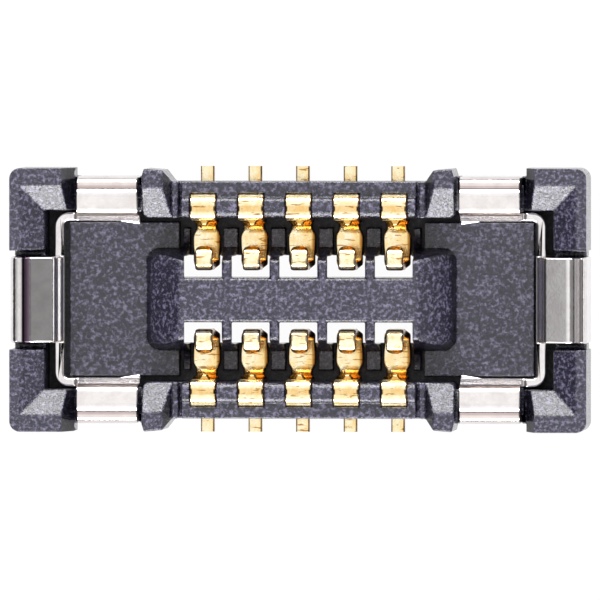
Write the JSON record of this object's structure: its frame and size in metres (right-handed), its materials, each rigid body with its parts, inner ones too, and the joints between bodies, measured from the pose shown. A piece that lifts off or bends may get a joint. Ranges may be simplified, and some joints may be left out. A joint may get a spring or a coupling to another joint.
{
  "type": "board to board connector receptacle",
  "caption": "Low-profile black board to board receptacle: sprung gilt contacts on both sides of a slotted island, guide corners and folded metal fittings at the ends.",
  "frame": {"origin": "on the board plane, the undersides of the solder tails, at the middle of the outline", "axes": "+X along the rows of contacts, +Y across them, +Z away from the board to the mating side"},
  "size_m": [0.0042, 0.002, 0.0006],
  "materials": {
    "housing_plastic": "black liquid crystal polymer with a fine spark-eroded texture on the flats",
    "contact_gold": "copper alloy strip with bright gold plating",
    "fitting_metal": "copper alloy sheet with bright nickel plating"
  },
  "bodies": {
    "root": {"housing": "housing_plastic", "end_fitting_left": "fitting_metal", "end_fitting_right": "fitting_metal", "signal_contact_a1": "contact_gold", "signal_contact_a2": "contact_gold", "signal_contact_a3": "contact_gold", "signal_contact_a4": "contact_gold", "signal_contact_a5": "contact_gold", "signal_contact_b1": "contact_gold", "signal_contact_b2": "contact_gold", "signal_contact_b3": "contact_gold", "signal_contact_b4": "contact_gold", "signal_contact_b5": "contact_gold"}
  },
  "joints": []
}
